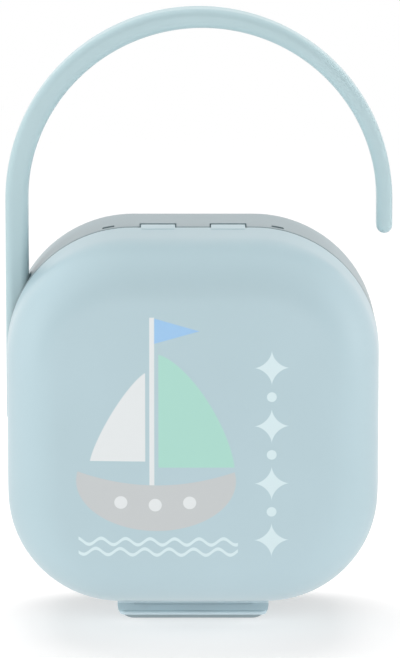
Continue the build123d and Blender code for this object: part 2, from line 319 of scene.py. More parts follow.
def makeFrontPlastic():
    look = {"dark": "b3cad1", "light": "b8cfd7", "rough": 0.28, "peel": 0.006}
    ink = {
        "grey": "c4c8c9", "white": "e2e6e7", "mint": "a9d8cb", "blue": "9cc5ea", "pale": "d6e8ec",
        "soft": 0.09,                  # how fast an edge of the ink fades
        "thick": 1.6, "rough": 0.10,
        "middle": (332.85, 52.8),      # of the face's crown, along Y and Z
        "radius": 359.0,               # only the outside of the face lies beyond it
    }
    boat = {  # places and sizes, across and up
        "hull": (-9.0, 41.0), "hullSize": (19.5, 12.6), "hullEdge": 10.0, "deck": (40.0, 0.009),
        "mast": (-10.0, 0.6), "mastSpan": (40.0, 81.6),
        "mainSail": ((-8.4, 44.5), (18.5, 28.0), 1, 1.45),   # tack, size, side, how full it is
        "foreSail": ((-11.6, 46.0), (13.5, 22.0), -1, 1.25), "sailEdge": 6.0,
        "pennant": (-9.4, 78.3), "pennantSize": (11.0, 3.1),
        "portholes": [(-17.6, 35.6), (-9.2, 35.0), (-0.8, 35.6)], "porthole": 1.6,
    }
    wave = {
        "span": (-28.0, 11.0), "half": 0.42, "rise": 0.8, "turn": 1.05,
        "rows": [(25.6, 0.0), (23.0, 1.4)],   # height and shift of each
    }
    star = {
        "column": 19.2, "span": (20.0, 74.0), "first": 26.0, "pitch": 14.4,
        "size": 4.3, "power": 0.62, "edge": 2.4, "dot": 1.2,
    }
    graph, shader, place, color, rough, height, material = mouldedPlastic("frontPlastic", look)
    x, y, z = (part / mm for part in graph.split(place))
    middleY, middleZ = ink["middle"]
    reach = graph.length(graph.length(x, z - middleZ), y - middleY)
    outside = graph.math("GREATER_THAN", reach, ink["radius"])

    def fade(gap):
        return graph.ramp(gap, -ink["soft"], ink["soft"])

    def disc(middle, size):
        return fade(size - graph.length(x - middle[0], z - middle[1]))

    def sail(tack, size, side, full):
        # a quarter of a rounded shape, outwards and up from its tack
        across, up = (x - tack[0]) * side, z - tack[1]
        bow = graph.most(across / size[0], 0.0) ** full + graph.most(up / size[1], 0.0) ** full
        return fade(across) * fade(up) * fade((1.0 - bow) * boat["sailEdge"])

    # a small sailing boat: hull with portholes, mast, two sails and a pennant
    (atX, atZ), (wide, tall) = boat["hull"], boat["hullSize"]
    deck, sheer = boat["deck"]
    bowl = fade((1.0 - graph.length((x - atX) / wide, (z - atZ) / tall)) * boat["hullEdge"])
    hull = bowl * fade(deck + sheer * (x - atX) * (x - atX) - z)
    (atX, half), (low, high) = boat["mast"], boat["mastSpan"]
    mast = fade(half - abs(x - atX)) * fade(z - low) * fade(high - z)
    mainSail, foreSail = sail(*boat["mainSail"]), sail(*boat["foreSail"])
    (atX, atZ), (wide, tall) = boat["pennant"], boat["pennantSize"]
    pennant = fade(x - atX) * fade((1.0 - (x - atX) / wide) * tall - abs(z - atZ))
    portholes = graph.most(*(disc(middle, boat["porthole"]) for middle in boat["portholes"]))

    # two waves under it, and a column of stars and dots beside it
    left, right = wave["span"]
    rows = []
    for low, shift in wave["rows"]:
        line = low + wave["rise"] * graph.math("SINE", x * wave["turn"] + shift)
        rows.append(fade(wave["half"] - abs(z - line)))
    waves = graph.most(*rows) * fade(x - left) * fade(right - x)
    column, half, (low, high) = x - star["column"], star["pitch"] / 2, star["span"]
    step = graph.math("WRAP", z - star["first"], half, -half)
    between = graph.math("WRAP", z - star["first"] - half, half, -half)
    points = (abs(column) / star["size"]) ** star["power"] + (abs(step) / star["size"]) ** star["power"]
    dots = fade(star["dot"] - graph.length(column, between))
    stars = graph.most(fade((1.0 - points) * star["edge"]), dots) * fade(z - low) * fade(high - z)

    layers = [
        (mast, ink["white"]), (hull, ink["grey"]), (portholes, ink["white"]), (mainSail, ink["mint"]),
        (foreSail, ink["white"]), (pennant, ink["blue"]), (waves, ink["pale"]), (stars, ink["pale"]),
    ]
    printed = 0.0
    for mask, code in layers:
        color = graph.tint(mask * outside, color, tone(code))
        printed = graph.most(mask * outside, printed)
    rough, height = rough + ink["rough"] * printed, height + ink["thick"] * printed
    closeFinish(graph, shader, color, rough, height, look["peel"])
    return material


def makeFinishes():
    looks = {  # name, dark and light tone, roughness, depth of the orange peel
        # painted shade: the rear shell's tones are darker and greyer than the front shell's, standing
        # in for the shade on its top band
        "rear_plastic": ("rearPlastic", "89999e", "8f9fa4", 0.30, 0.006),
        "handle_plastic": ("handlePlastic", "b2cacf", "b7cfd4", 0.30, 0.005),
        # painted light: the latch's tones are lighter than the shells', lifting the latch out of the
        # shade it sits in under the case
        "latch_plastic": ("latchPlastic", "bed0d7", "c3d5dc", 0.34, 0.005),
        "pin_plastic": ("pinPlastic", "e0e2df", "e8e9e6", 0.38, 0.003),
        "tray_plastic": ("trayPlastic", "e4eaea", "ecf1f1", 0.34, 0.005),
        "silicone": ("siliconeCord", "dfe9ea", "e8f0f1", 0.48, 0.003),
    }
    finishes = {}
    for slot, (name, dark, light, rough, peel) in looks.items():
        finishes[slot] = plasticOf(name, {"dark": dark, "light": light, "rough": rough, "peel": peel})
    finishes["front_plastic"] = makeFrontPlastic()
    print("finishes:", len(finishes))
    return finishes


def solidFrom(form, name):
    # a closed bmesh in millimetres becomes a smooth object in metres, its sharp edges kept
    bmesh.ops.remove_doubles(form, verts=form.verts, dist=0.0005)
    bmesh.ops.recalc_face_normals(form, faces=form.faces)
    bmesh.ops.scale(form, vec=(mm, mm, mm), verts=form.verts)
    mesh = bpy.data.meshes.new(name)
    form.to_mesh(mesh)
    form.free()
    piece = bpy.data.objects.new(name, mesh)
    bpy.context.scene.collection.objects.link(piece)
    return piece


def settled(piece):
    # what the modifiers make, as a plain mesh on the same object
    graph = bpy.context.evaluated_depsgraph_get()
    mesh = bpy.data.meshes.new_from_object(piece.evaluated_get(graph))
    piece.modifiers.clear()
    piece.data = mesh
    return piece


def join(piece, operation, tools):
    # UNION, DIFFERENCE or INTERSECT with each tool in turn
    for tool in tools:
        change = piece.modifiers.new("join", "BOOLEAN")
        change.operation, change.solver, change.object = operation, "MANIFOLD", tool
    settled(piece)
    for tool in tools:
        bpy.data.objects.remove(tool)
    return piece


def dress(piece, finish, angle=32.0):
    piece.data.materials.clear()
    piece.data.materials.append(finish)
    piece.data.polygons.foreach_set("material_index", [0] * len(piece.data.polygons))
    piece.data.shade_smooth()
    piece.data.set_sharp_from_angle(angle=radians(angle))
    return piece


def roundPath(path, radii, steps=4):
    # a flat polyline with its inner corners rounded; a closed outline starts and ends on a straight
    points = [Vector(path[0])]
    for before, corner, after, radius in zip(path, path[1:], path[2:], radii):
        corner = Vector(corner)
        back, ahead = (Vector(before) - corner).normalized(), (Vector(after) - corner).normalized()
        half = back.angle(ahead) / 2
        if not radius:
            points.append(corner)
            continue
        middle = corner + (back + ahead).normalized() * (radius / sin(half))
        toEnd = radius / tan(half)
        first, last = ((corner + way * toEnd - middle).normalized() for way in (back, ahead))
        for step in range(steps + 1):
            points.append(middle + first.slerp(last, step / steps) * radius)
    points.append(Vector(path[-1]))
    return points


def loopPath(corners, radii, steps=4):
    # the same for a closed outline of corners; it starts halfway along the last side, a long one
    start = [(a + b) / 2 for a, b in zip(corners[-1], corners[0])]
    return roundPath([start, *corners, start], radii, steps)[:-1]


def prism(outline, axis, span, edge=0.0, steps=3):
    # a flat outline pushed along an axis, the rims of both ends rounded
    form = bmesh.new()
    slot = "XYZ".index(axis)
    loops = []
    for depth in span:
        loops.append([form.verts.new((*spot[:slot], depth, *spot[slot:])) for spot in outline])
    ends = [form.faces.new(loop) for loop in loops]
    for index in range(len(outline)):
        form.faces.new((loops[0][index - 1], loops[0][index], loops[1][index], loops[1][index - 1]))
    if edge:
        rims = [side for end in ends for side in end.edges]
        bmesh.ops.recalc_face_normals(form, faces=form.faces)
        bmesh.ops.bevel(form, geom=rims, offset=edge, segments=steps, profile=0.5, affect="EDGES")
    return solidFrom(form, "tool")


def block(xSpan, ySpan, zSpan, edge=0.0):
    # a box with its edges along Y and its end rims rounded
    (left, right), (low, high) = xSpan, zSpan
    corners = [(left, low), (right, low), (right, high), (left, high)]
    return prism(loopPath(corners, [edge] * 4), "Y", ySpan, 0.8 * edge)


def oval(middle, radii, sides=64):
    turn = [2 * pi * step / sides for step in range(sides)]
    return [(middle[0] + radii[0] * cos(angle), middle[1] + radii[1] * sin(angle)) for angle in turn]


def rod(axis, span, middle, radius, edge=0.0, sides=64):
    return prism(oval(middle, (radius, radius), sides), axis, span, edge)


def caseSpine(half, corners, arc=14, straight=12):
    # points of the rounded outline, each with its outward direction, from the middle of a corner; the
    # corners are quarter ellipses, given by their reach along X and Z, the bottom pair and the top pair
    def cornerPoint(x, z, angle):
        wide, tall = corners[z > 0]
        middle = Vector((x * (half[0] - wide), z * (half[1] - tall)))
        reach = Vector((wide**2 * cos(angle), tall**2 * sin(angle)))
        return middle + reach / hypot(wide * cos(angle), tall * sin(angle))

    signs = [(-1, -1), (1, -1), (1, 1), (-1, 1), (-1, -1)]   # the corners in turn
    spine = []
    for side in range(4):
        first, last = signs[side:side + 2]
        for step in range(2 * arc + straight):
            turn = max((step - arc - straight) / arc, 0) - max(1 - step / arc, 0)
            angle = radians(270 + 90 * side + 45 * turn)
            share = min(max((step - arc) / straight, 0), 1)
            spot = cornerPoint(*first, angle).lerp(cornerPoint(*last, angle), share)
            spine.append((spot, Vector((cos(angle), sin(angle)))))
    return spine


def fillMiddle(form, ring, depthAt):
    # a square grid between the four sides of a ring, laid on a surface
    count = len(ring) // 4
    ring = ring + ring[:1]
    bottom, right = ring[:count + 1], ring[count:2 * count + 1]
    top, left = ring[2 * count:3 * count + 1][::-1], ring[3 * count:][::-1]
    edges = {}
    for step in range(count + 1):
        edges[step, 0], edges[step, count] = bottom[step], top[step]
        edges[0, step], edges[count, step] = left[step], right[step]
    corners = [edges[0, 0].co, edges[count, 0].co, edges[0, count].co, edges[count, count].co]
    for column in range(1, count):
        for row in range(1, count):
            u, v = column / count, row / count
            across = bottom[column].co * (1 - v) + top[column].co * v
            along = left[row].co * (1 - u) + right[row].co * u
            shares = ((1 - u) * (1 - v), u * (1 - v), (1 - u) * v, u * v)
            spot = across + along
            for corner, share in zip(corners, shares):
                spot -= corner * share
            spot.y = depthAt(spot)
            edges[column, row] = form.verts.new(spot)
    for column in range(count):
        for row in range(count):
            form.faces.new([edges[column + a, row + b] for a, b in ((0, 0), (1, 0), (1, 1), (0, 1))])


def loft(name, spine, columnOf, depths, place):
    # one column of points for each spine point, both ends filled, then every point put in its place
    form = bmesh.new()
    columns = [[form.verts.new(point) for point in columnOf(spot, out)] for spot, out in spine]
    for index, column in enumerate(columns):
        before = columns[index - 1]
        for row in range(len(column) - 1):
            form.faces.new((before[row], column[row], column[row + 1], before[row + 1]))
    for row, depthAt in zip((0, -1), depths):
        fillMiddle(form, [column[row] for column in columns], depthAt)
    for vertex in form.verts:
        vertex.co = place(vertex.co)
    return solidFrom(form, name)


def caseSizes():
    return {
        "half": (46.0, 46.2), "corners": ((28.0, 28.0), (31.0, 31.0)),   # the bottom pair, the top pair
        "middle": 52.8, "wall": 2.2, "seamGap": 0.15,
        "arc": 14, "straight": 12, "wallSteps": 5, "edgeSteps": 16,
    }


def skinColumn(shell, spot, out, inset, first):
    # drafted wall from one depth, rolled edge and the rim of the crown; points are (x, depth, z)
    slope = radians(shell["draft"])
    edge, crown = shell["edge"] - inset, shell["crown"] - inset
    crownMiddle = shell["depth"] - shell["crown"]
    depth = shell["depth"] - shell["edge"]
    for _ in range(6):
        pull = inset + depth * tan(slope) + edge / cos(slope)
        centre = spot - out * pull
        depth = crownMiddle + sqrt((crown - edge) ** 2 - centre.length_squared)
    ball = Vector((centre.x, depth, centre.y))
    wallWay = Vector((out.x * cos(slope), sin(slope), out.y * cos(slope)))
    crownWay = Vector((centre.x, depth - crownMiddle, centre.y)).normalized()
    last = depth + edge * sin(slope)
    points = []
    for step in range(shell["wallSteps"]):
        down = first + (last - first) * step / shell["wallSteps"]
        flat = spot - out * (inset + down * tan(slope))
        points.append(Vector((flat.x, down, flat.y)))
    for step in range(shell["edgeSteps"] + 1):
        points.append(ball + wallWay.slerp(crownWay, step / shell["edgeSteps"]) * edge)
    return points


def crownDepth(shell, inset):
    middle, radius = shell["depth"] - shell["crown"], shell["crown"] - inset
    return lambda spot: middle + sqrt(radius**2 - spot.x**2 - spot.z**2)


def shellPlace(shell):
    side, gap, lift = shell["side"], shell["seamGap"], shell["middle"]
    return lambda spot: Vector((spot.x, side * (gap + spot.y), spot.z + lift))


def rimColumn(shell, spot, out):
    points = []
    for pull, depth in roundPath(shell["rimPath"], shell["rimRadii"]):
        flat = spot - out * pull
        points.append(Vector((flat.x, depth, flat.y)))
    return points


def makeShell(name, shell):
    spine = caseSpine(shell["half"], shell["corners"], shell["arc"], shell["straight"])

    def columnOf(spot, out):
        outer = skinColumn(shell, spot, out, 0.0, shell["rimPath"][0][1])
        inner = skinColumn(shell, spot, out, shell["wall"], shell["rimPath"][-1][1])
        return outer[:0:-1] + rimColumn(shell, spot, out) + inner[1:]

    depths = (crownDepth(shell, 0.0), crownDepth(shell, shell["wall"]))
    return loft(name, spine, columnOf, depths, shellPlace(shell))


def makeCore(shell, inset):
    # the solid inside the shell's skin, to trim what is moulded on its inside
    spine = caseSpine(shell["half"], shell["corners"], shell["arc"], shell["straight"])
    columnOf = lambda spot, out: skinColumn(shell, spot, out, inset, 0.0)
    depths = (lambda spot: 0.0, crownDepth(shell, inset))
    return loft("core", spine, columnOf, depths, shellPlace(shell))


def newTree(name, sizes):
    # an empty tree with named sizes; gives its graph and its input wires by name
    tree = bpy.data.node_groups.new(name, "GeometryNodeTree")
    tree.interface.new_socket("Geometry", in_out="OUTPUT", socket_type="NodeSocketGeometry")
    tree.interface.new_socket("Geometry", in_out="INPUT", socket_type="NodeSocketGeometry")
    for size in sizes:
        tree.interface.new_socket(size, in_out="INPUT", socket_type="NodeSocketFloat")
    tree.interface.new_socket("Finish", in_out="INPUT", socket_type="NodeSocketMaterial")
    graph = Graph(tree)
    entry = tree.nodes.new("NodeGroupInput")
    return graph, {socket.name: Wire(graph, socket) for socket in entry.outputs if socket.name}


def closeTree(graph, wires, geometry):
    real = graph.make("GeometryNodeRealizeInstances", None, {"Geometry": geometry})
    inputs = {"Geometry": real, "Material": wires["Finish"]}
    finished = graph.make("GeometryNodeSetMaterial", None, inputs)
    graph.make("NodeGroupOutput", None, {"Geometry": finished})
    return graph.tree


def grow(piece, tree, sizes, finish):
    # runs a tree on a piece with its sizes in millimetres, and keeps the result as a plain mesh
    change = piece.modifiers.new("rule", "NODES")
    change.node_group = tree
    for item in tree.interface.items_tree:
        if item.in_out == "INPUT" and item.name in sizes:
            change[item.identifier] = float(sizes[item.name])
        elif item.name == "Finish":
            change[item.identifier] = finish
    return settled(piece)


def emptyPiece(name):
    piece = bpy.data.objects.new(name, bpy.data.meshes.new(name))
    bpy.context.scene.collection.objects.link(piece)
    return piece


def flaredPunch(graph, wires, sides, rings):
    # a round or slotted punch along Z that widens where it leaves the wall, for soft rims
    radius, flare = wires["Width"] * 0.5 * mm, wires["Flare"] * mm
    settings = {"Vertices": sides, "Side Segments": rings, "Radius": radius, "Depth": 2.0}
    stem = graph.make("GeometryNodeMeshCylinder", None, settings)
    x, y, along = graph.split(graph.make("GeometryNodeInputPosition"))
    travel, bare, rolled = abs(along), 0.2, 0.8   # shares of a half where the flare begins and ends
    turn = graph.clamp((travel - bare) / (rolled - bare), 0.0, 1.0) * (pi / 2)
    height = (wires["Wall"] * 0.5 * mm - flare) * graph.clamp(travel / bare, 0.0, 1.0)
    beyond = mm * graph.most(travel - rolled, 0.0) / (1.0 - rolled)
    height = height + flare * graph.math("SINE", turn) + beyond
    grown = 1.0 + flare * (1.0 - graph.math("COSINE", turn)) / radius
    slide = graph.math("SIGN", x) * (wires["Length"] - wires["Width"]) * 0.5 * mm
    spot = graph.vector(x * grown + slide, y * grown, height * graph.math("SIGN", along))
    return graph.make("GeometryNodeSetPosition", None, {"Geometry": stem, "Position": spot})


def punched(graph, wires, points, selection, punch, turn):
    inputs = {"Points": points, "Selection": selection, "Instance": punch, "Rotation": turn}
    punches = graph.make("GeometryNodeInstanceOnPoints", None, inputs)
    cut = {"operation": "DIFFERENCE", "solver": "MANIFOLD"}
    return graph.make("GeometryNodeMeshBoolean", cut, {"Mesh 1": wires["Geometry"], "Mesh 2": punches})


def ventTree():
    names = ["Middle Depth", "Middle Height", "Pitch", "Length", "Width", "Flare", "Wall"]
    graph, wires = newTree("steamVents", names)
    pitch = wires["Pitch"] * mm
    start = graph.vector(-pitch, wires["Middle Depth"] * mm, wires["Middle Height"] * mm)
    row = {"Count": 3, "Start Location": start, "Offset": graph.vector(pitch, 0.0, 0.0)}
    points = graph.make("GeometryNodeMeshLine", None, row)
    punch = flaredPunch(graph, wires, 32, 20)
    return closeTree(graph, wires, punched(graph, wires, points, True, punch, (0.0, 0.0, 0.0)))


def perforationTree():
    names = ["Middle Depth", "Middle Height", "Pitch", "Length", "Width", "Flare", "Wall",
             "Half Width", "Half Height", "Corner", "Margin",
             "Cradle Place", "Cradle Width", "Cradle Height", "Ear Place", "Ear Height"]
    graph, wires = newTree("trayPerforations", names)
    pitch = wires["Pitch"] * mm
    grid = {"Size X": pitch * 10.0, "Size Y": pitch * 10.0, "Vertices X": 11, "Vertices Y": 11}
    points = graph.make("GeometryNodeMeshGrid", None, grid)
    x, z, _ = graph.split(graph.make("GeometryNodeInputPosition"))
    middle = graph.vector(x, wires["Middle Depth"] * mm, z + wires["Middle Height"] * mm)
    points = graph.make("GeometryNodeSetPosition", None, {"Geometry": points, "Position": middle})
    x, _, z = (part / mm for part in graph.split(graph.make("GeometryNodeInputPosition")))
    z = z - wires["Middle Height"]
    cornerX = graph.most(abs(x) - (wires["Half Width"] - wires["Corner"]), 0.0)
    cornerZ = graph.most(abs(z) - (wires["Half Height"] - wires["Corner"]), 0.0)
    inRim = graph.math("LESS_THAN", graph.length(cornerX, cornerZ), wires["Corner"] - wires["Margin"])
    besideX = (abs(x) - wires["Cradle Place"]) / wires["Cradle Width"]
    offCradle = graph.math("GREATER_THAN", graph.length(besideX, z / wires["Cradle Height"]), 1.0)
    aboveEar = graph.math("GREATER_THAN", z, wires["Ear Height"])
    besideEar = graph.math("GREATER_THAN", abs(x), wires["Ear Place"])
    chosen = inRim * offCradle * (1.0 - aboveEar * besideEar)
    punch = flaredPunch(graph, wires, 20, 10)
    return closeTree(graph, wires, punched(graph, wires, points, chosen, punch, (pi / 2, 0.0, 0.0)))


def handleTree(legSteps, turnSteps, rimSteps):
    # a flat strap that runs up, over a half circle and down, thinner from root to tip, with round ends
    names = ["Root Height", "Arc Height", "Tip Height", "Arc Middle", "Arc Radius",
             "Half Thickness", "Taper", "Middle Depth", "Half Depth", "Edge", "Bore"]
    graph, wires = newTree("carryHandle", names)
    steps = 2 * (legSteps + turnSteps)
    grid = {"Size X": 1.0, "Size Y": 1.0, "Vertices X": steps + 1, "Vertices Y": 5 * rimSteps + 1}
    sheet = graph.make("GeometryNodeMeshGrid", None, grid)
    u, v, _ = graph.split(graph.make("GeometryNodeInputPosition"))
    walk, across = (u + 0.5) * steps, (v + 0.5) * 5.0
    rise = wires["Arc Height"] - wires["Root Height"]
    bow = wires["Arc Radius"] * pi
    drop = wires["Arc Height"] - wires["Tip Height"]
    out = graph.clamp(walk, 0.0, legSteps)
    home = graph.clamp(walk - (legSteps + turnSteps), 0.0, legSteps)
    travel = (out - home) / legSteps * (rise + bow + drop)
    tipTurn = graph.clamp(walk - legSteps, 0.0, turnSteps)
    rootTurn = graph.clamp(walk - (2 * legSteps + turnSteps), 0.0, turnSteps)
    facing = (tipTurn + rootTurn) * (pi / turnSteps)
    upLeg = graph.clamp(travel, 0.0, rise)
    angle = graph.clamp(travel - rise, 0.0, bow) / wires["Arc Radius"]
    downLeg = graph.most(travel - rise - bow, 0.0)
    cosine, sine = graph.math("COSINE", angle), graph.math("SINE", angle)
    middleX = wires["Arc Middle"] - wires["Arc Radius"] * cosine
    middleZ = wires["Root Height"] + upLeg + wires["Arc Radius"] * sine - downLeg
    outward, forward = graph.math("COSINE", facing), graph.math("SINE", facing)
    wayX = sine * forward - cosine * outward
    wayZ = sine * outward + cosine * forward
    bend = (graph.clamp(across - 1.0, 0.0, 1.0) + graph.clamp(across - 3.0, 0.0, 1.0)) * (pi / 2)
    flatPart = graph.clamp(across, 0.0, 1.0) - graph.clamp(across - 4.0, 0.0, 1.0)
    half = wires["Half Thickness"] + wires["Taper"] * cosine
    reach = (half - wires["Edge"]) * flatPart + wires["Edge"] * graph.math("SINE", bend)
    side = (wires["Half Depth"] - wires["Edge"]) * (1.0 - 2.0 * graph.clamp(across - 2.0, 0.0, 1.0))
    depth = wires["Middle Depth"] + side + wires["Edge"] * graph.math("COSINE", bend)
    spot = graph.vector((middleX + reach * wayX) * mm, depth * mm, (middleZ + reach * wayZ) * mm)
    strap = graph.make("GeometryNodeSetPosition", None, {"Geometry": sheet, "Position": spot})
    strap = graph.make("GeometryNodeMergeByDistance", None, {"Geometry": strap, "Distance": 0.003 * mm})
    strap = graph.make("GeometryNodeFlipFaces", None, {"Mesh": strap})
    drill = {"Vertices": 48, "Radius": wires["Bore"] * mm, "Depth": 20.0 * mm}
    drill = graph.make("GeometryNodeMeshCylinder", None, drill)
    pivotX = wires["Arc Middle"] - wires["Arc Radius"]
    place = graph.vector(pivotX * mm, wires["Middle Depth"] * mm, wires["Root Height"] * mm)
    moved = {"Geometry": drill, "Translation": place, "Rotation": (pi / 2, 0.0, 0.0)}
    drill = graph.make("GeometryNodeTransform", None, moved)
    cut = {"operation": "DIFFERENCE", "solver": "MANIFOLD"}
    strap = graph.make("GeometryNodeMeshBoolean", cut, {"Mesh 1": strap, "Mesh 2": drill})
    return closeTree(graph, wires, strap)


def sealTree():
    # a soft cord with a rounded section laid along the piece's own edges
    names = ["Middle Height", "Middle Depth", "Cord Width", "Cord Depth", "Cord Corner", "Corner Steps"]
    graph, wires = newTree("rimSeal", names)
    route = graph.make("GeometryNodeMeshToCurve", None, {"Mesh": wires["Geometry"]})
    route = graph.make("GeometryNodeSetCurveNormal", {"mode": "Z_UP"}, {"Curve": route})
    sizes = {"Width": wires["Cord Width"] * mm, "Height": wires["Cord Depth"] * mm}
    section = graph.make("GeometryNodeCurvePrimitiveQuadrilateral", None, sizes)
    fillet = {"Curve": section, "Count": wires["Corner Steps"], "Radius": wires["Cord Corner"] * mm}
    section = graph.make("GeometryNodeFilletCurve", {"mode": "POLY"}, fillet)
    cord = graph.make("GeometryNodeCurveToMesh", None, {"Curve": route, "Profile Curve": section})
    place = graph.vector(0.0, wires["Middle Depth"] * mm, wires["Middle Height"] * mm)
    moved = {"Geometry": cord, "Translation": place, "Rotation": (pi / 2, 0.0, 0.0)}
    return closeTree(graph, wires, graph.make("GeometryNodeTransform", None, moved))


def makeFrontShell(finish):
    slope = tan(radians(2.5))
    shell = {
        **caseSizes(), "side": -1, "draft": 2.5, "depth": 27.0, "edge": 15.0, "crown": 360.0,
        "rimPath": [(slope, 1.0), (0.0, 0.0), (5.2, 0.0), (5.2, 2.25),
                    (2.2 + 2.25 * slope, 2.25), (2.2 + 3.5 * slope, 3.5)],
        "rimRadii": [0.5, 0.25, 0.25, 0.4],
        "knuckles": [(-12.9, -4.4), (4.4, 12.9)],
        "hinge": (3.0, 97.4), "knuckle": 1.6, "bore": 0.82, "boreHalf": 20.0,
        "arm": (-2.4, 96.8, 99.0),     # front, underside and top of the arms that carry the knuckles
        "keeper": ((-7.6, 7.6), (-4.9, -3.3), (5.6, 7.8), 0.3),
        "vents": {
            "Middle Depth": -9.5, "Middle Height": 8.1, "Pitch": 16.0, "Length": 8.0, "Width": 1.4,
            "Flare": 0.3, "Wall": 2.3,
        },
    }
    piece = makeShell("frontShell", shell)
    (hingeY, hingeZ), radius = shell["hinge"], shell["knuckle"]
    front, low, high = shell["arm"]
    last = 180 + degrees(asin((hingeZ - low) / radius))
    turn = [radians(90 - (90 + 360 - last) * step / 24) for step in range(25)]
    around = [(hingeY + radius * cos(angle), hingeZ + radius * sin(angle)) for angle in turn]
    profile = [(front, high), *around, (front, low)]
    join(piece, "UNION", [prism(profile, "X", span, 0.2) for span in shell["knuckles"]])
    bore = rod("X", (-shell["boreHalf"], shell["boreHalf"]), shell["hinge"], shell["bore"])
    join(piece, "DIFFERENCE", [bore, block(*shell["keeper"])])
    grow(piece, ventTree(), shell["vents"], finish)
    return dress(piece, finish)


def makeRearShell(finish):
    slope = tan(radians(1.0))
    shell = {
        **caseSizes(), "side": 1, "draft": 1.0, "depth": 29.0, "edge": 11.0, "crown": 100000.0,
        "rimPath": [(slope, 1.0), (0.0, 0.0), (3.4, 0.0), (3.4, 1.2), (4.8, 1.2), (4.8, 0.0),
                    (5.6, 0.0), (5.6, 2.45), (2.2 + 2.45 * slope, 2.45), (2.2 + 3.5 * slope, 3.5)],
        "rimRadii": [0.5, 0.12, 0.1, 0.1, 0.12, 0.25, 0.25, 0.4],
        "coreInset": 1.1,
        "channelBoss": ((-44.5, -37.9), (-1.0, 13.4), (45.3, 94.2), 0.8),
        "hingeBoss": ((-25.0, 25.0), (-1.0, 7.0), (93.8, 97.9), 0.5),
        "trayLug": ((25.3, 27.9), (11.0, 15.9), (84.8, 96.0), 0.4),
        "post": ((10.1, 27.9), 2.2, 0.4), "postPlace": (25.0, 27.0),
        "foot": {"half": 18.8, "corner": 4.0, "top": 8.2, "span": (-2.4, 12.6), "edge": 0.6},
        "footFront": ((-20.0, 20.0), (-4.0, 0.15), (6.1, 10.0)),
        "latchSlot": ((-15.9, 15.9), (-4.0, 11.2), (1.4, 5.0), 0.3),
        "latchPin": ((9.0, 3.1), 0.82, 20.0),
        "knuckles": [(-13.2, -4.1), (4.1, 13.2)],
        "hinge": (3.0, 97.4), "pocket": 1.9, "pocketFront": (-0.85, 96.5), "pocketBack": 5.2,
        "hingePin": (0.77, 20.0), "notch": ((19.4, 22.4), (1.9, 4.1), (96.3, 100.0), 0.3),
        "channel": {
            "out": -60.0, "back": -40.1, "span": (2.6, 11.2),
            "pivot": (-43.525, 50.8), "radius": 3.125,
        },
        "handlePin": (1.22, 1.6, 14.2),
        "trayBore": ((24.3, 28.9), (13.4, 87.3), 1.27),
    }
    piece = makeShell("rearShell", shell)
    (span, radius, edge), (sideways, upward) = shell["post"], shell["postPlace"]
    inner = [block(*shell["hingeBoss"])]
    for side in (-1, 1):
        inner.append(block(mirrored(shell["trayLug"][0], side), *shell["trayLug"][1:]))
        for height in (shell["middle"] - upward, shell["middle"] + upward):
            inner.append(rod("Y", span, (side * sideways, height), radius, edge))
    inside = block(*shell["channelBoss"])
    join(inside, "UNION", inner)
    join(inside, "INTERSECT", [makeCore(shell, shell["coreInset"])])
    join(piece, "UNION", [inside, makeFoot(shell)])
    join(piece, "DIFFERENCE", rearCuts(shell))
    return dress(piece, finish)


def mirrored(span, side):
    return sorted(side * end for end in span)


def makeFoot(shell):
    foot = shell["foot"]
    half, top, corner = foot["half"], foot["top"], foot["corner"]
    corners = [(half, top), (half, 0.0), (-half, 0.0), (-half, top)]
    outline = loopPath(corners, [0.0, corner, corner, 0.0], 8)
    body = prism(outline, "Y", foot["span"], foot["edge"])
    return join(body, "DIFFERENCE", [block(*shell["footFront"]), block(*shell["latchSlot"])])


def rearCuts(shell):
    # pockets for the turning knuckles, pin holes and their notches, and the handle's channel
    (hingeY, hingeZ), pocket, high = shell["hinge"], shell["pocket"], 100.0
    front, low = shell["pocketFront"]
    first = 180 + degrees(asin((hingeZ - low) / pocket))
    turn = [radians(first + (360 - first) * step / 20) for step in range(21)]
    around = [(hingeY + pocket * cos(angle), hingeZ + pocket * sin(angle)) for angle in turn]
    back = shell["pocketBack"]
    profile = [(front, high), (front, low), *around, (back, hingeZ), (back, high)]
    cuts = [prism(profile, "X", span, 0.2) for span in shell["knuckles"]]
    radius, half = shell["hingePin"]
    cuts.append(rod("X", (-half, half), shell["hinge"], radius))
    channel = shell["channel"]
    (pivotX, pivotZ), eye = channel["pivot"], channel["radius"]
    turn = [radians(-90 * step / 12) for step in range(13)]
    eyeArc = [(pivotX + eye * cos(angle), pivotZ + eye * sin(angle)) for angle in turn]
    away, back = channel["out"], channel["back"]
    outline = [(away, high), (back, high), (back, pivotZ), *eyeArc, (away, pivotZ - eye)]
    cuts.append(prism(outline, "Y", channel["span"], 0.3))
    radius, front, back = shell["handlePin"]
    cuts.append(rod("Y", (front, back), channel["pivot"], radius))
    place, radius, half = shell["latchPin"]
    cuts.append(rod("X", (-half, half), place, radius))
    span, place, radius = shell["trayBore"]
    for side in (-1, 1):
        cuts.append(block(mirrored(shell["notch"][0], side), *shell["notch"][1:]))
        cuts.append(rod("X", mirrored(span, side), place, radius))
    return cuts


def makeHandle(finish):
    handle = {
        "Root Height": 50.8, "Arc Height": 104.8, "Tip Height": 98.575,
        "Arc Middle": 1.875, "Arc Radius": 45.4, "Half Thickness": 2.4, "Taper": 0.425,
        "Middle Depth": 6.9, "Half Depth": 4.0, "Edge": 1.85, "Bore": 1.27,
    }
    tree = handleTree(legSteps=150, turnSteps=14, rimSteps=6)
    return dress(grow(emptyPiece("carryHandle"), tree, handle, finish), finish)


